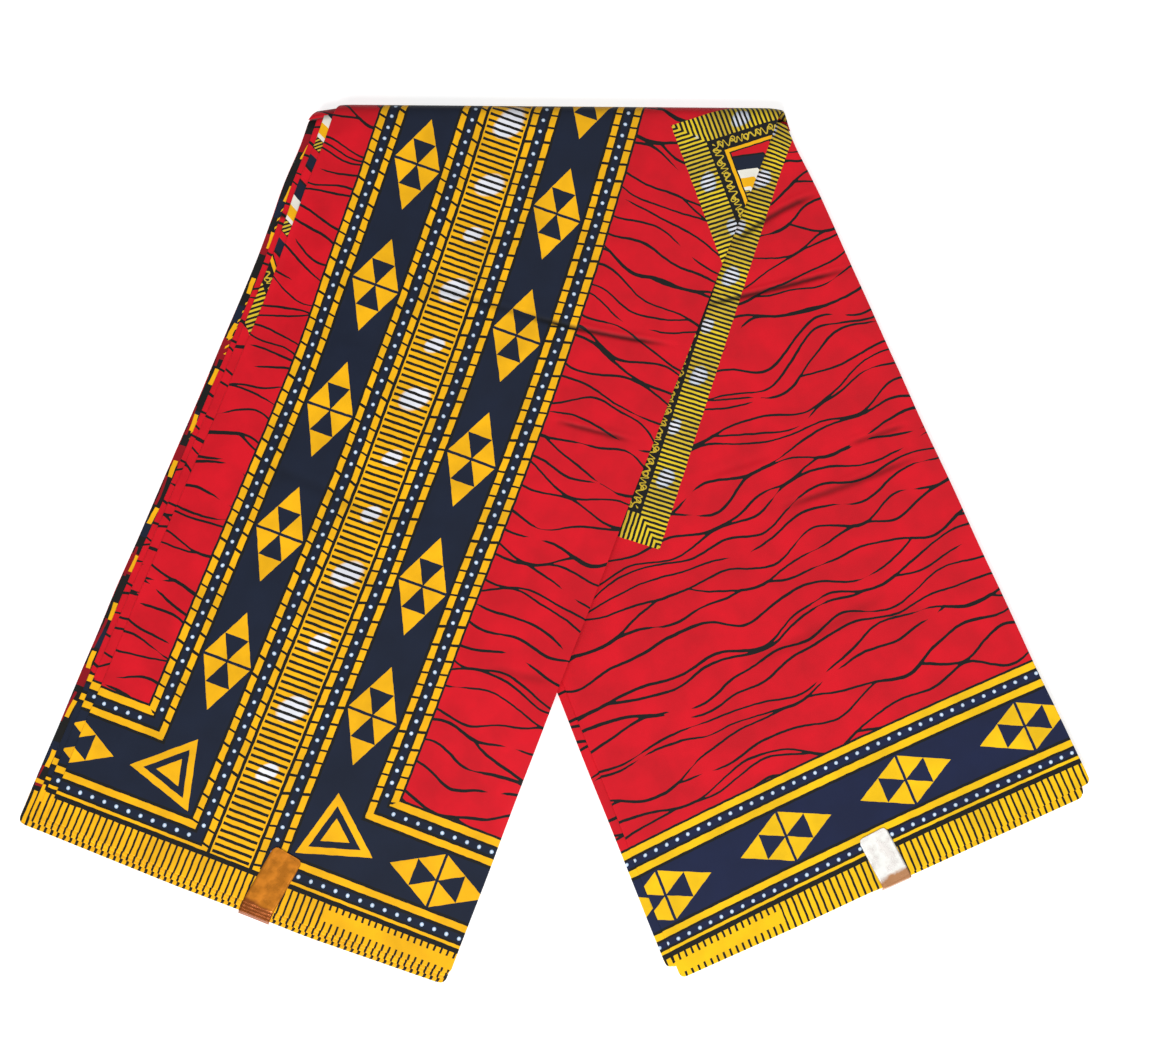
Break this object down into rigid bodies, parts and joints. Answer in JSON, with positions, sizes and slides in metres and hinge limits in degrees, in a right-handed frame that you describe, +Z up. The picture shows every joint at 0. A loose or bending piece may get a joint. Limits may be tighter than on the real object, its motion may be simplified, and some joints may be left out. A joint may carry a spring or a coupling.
{
  "type": "folded wax print fabric",
  "caption": "Length of wax print cotton for dresses and wraps, folded into a long flat strip whose halves spread from a crosswise fold, with foil labels on the selvedges.",
  "frame": {"origin": "middle of the bounding box in plan, on the surface that the cloth lies on", "axes": "+X to the picture's right, along the longest extent; +Y up the picture, towards the fold that joins both legs; +Z up from the surface"},
  "size_m": [0.7282, 0.6224, 0.0183],
  "materials": {
    "printed_cotton": "resin-bonded print cotton with a faint sheen",
    "folded_edges": "edges of many folds of the same print cotton",
    "copper_foil": "copper-coloured metallised foil, slightly wrinkled",
    "white_foil": "pearl white metallised foil"
  },
  "bodies": {
    "root": {"top_cloth_left_leg": "printed_cotton", "second_fold_left_leg": "printed_cotton", "third_fold_left_leg": "printed_cotton", "inner_folds_left_leg": "folded_edges", "top_cloth_right_leg": "printed_cotton", "second_fold_right_leg": "printed_cotton", "inner_folds_right_leg": "folded_edges", "turned_folds": "folded_edges", "foil_label_left_leg": "copper_foil", "foil_label_right_leg": "white_foil"}
  },
  "joints": []
}
